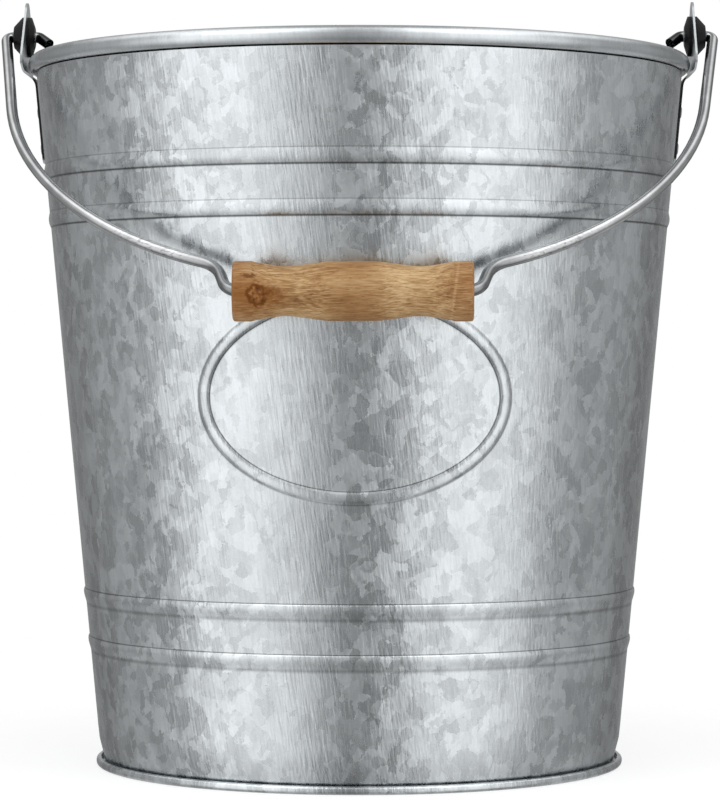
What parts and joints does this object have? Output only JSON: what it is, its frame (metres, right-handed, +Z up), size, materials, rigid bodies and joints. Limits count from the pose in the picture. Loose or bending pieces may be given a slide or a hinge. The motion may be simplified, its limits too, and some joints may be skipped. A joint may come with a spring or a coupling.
{
  "type": "trash can",
  "caption": "Tapered galvanised-steel pail used as a trash can, with a rolled rim, swaged beads, an oval frame, and a wire bail with a turned wood grip that swings between riveted ears.",
  "frame": {"origin": "on the floor, on the can's axis, at the middle of the chime's resting face", "axes": "+Z up along the can's axis; +X through the right ear along the bail's hinge axis; the bail hangs on the -Y side"},
  "size_m": [0.276, 0.2648, 0.2926],
  "materials": {
    "galvanised_sheet": "spangled galvanised sheet, satin",
    "galvanised_plate": "galvanised plate, satin",
    "steel_wire": "bright galvanised wire",
    "rivet_steel": "plain galvanised",
    "black_bushing": "moulded, satin black",
    "turned_wood": "turned and lightly sealed"
  },
  "bodies": {
    "can": {"can_wall": "galvanised_sheet", "rim_wire": "steel_wire", "base_pan": "galvanised_sheet", "left_ear": "galvanised_plate", "right_ear": "galvanised_plate", "left_ear_rivets": "rivet_steel", "right_ear_rivets": "rivet_steel", "left_bushing": "black_bushing", "right_bushing": "black_bushing"},
    "bail": {"bail_wire": "steel_wire"},
    "grip": {"wood_grip": "turned_wood"}
  },
  "joints": [
    {"name": "bail_swing", "type": "hinge", "parent": "can", "child": "bail", "pos_m": [0, 0, 0.2794], "axis": [-1, 0, 0], "range_deg": [0, 257]},
    {"name": "grip_spin", "type": "hinge", "parent": "bail", "child": "grip", "pos_m": [0, -0.12731, 0.17841], "axis": [1, 0, 0], "continuous": true}
  ]
}
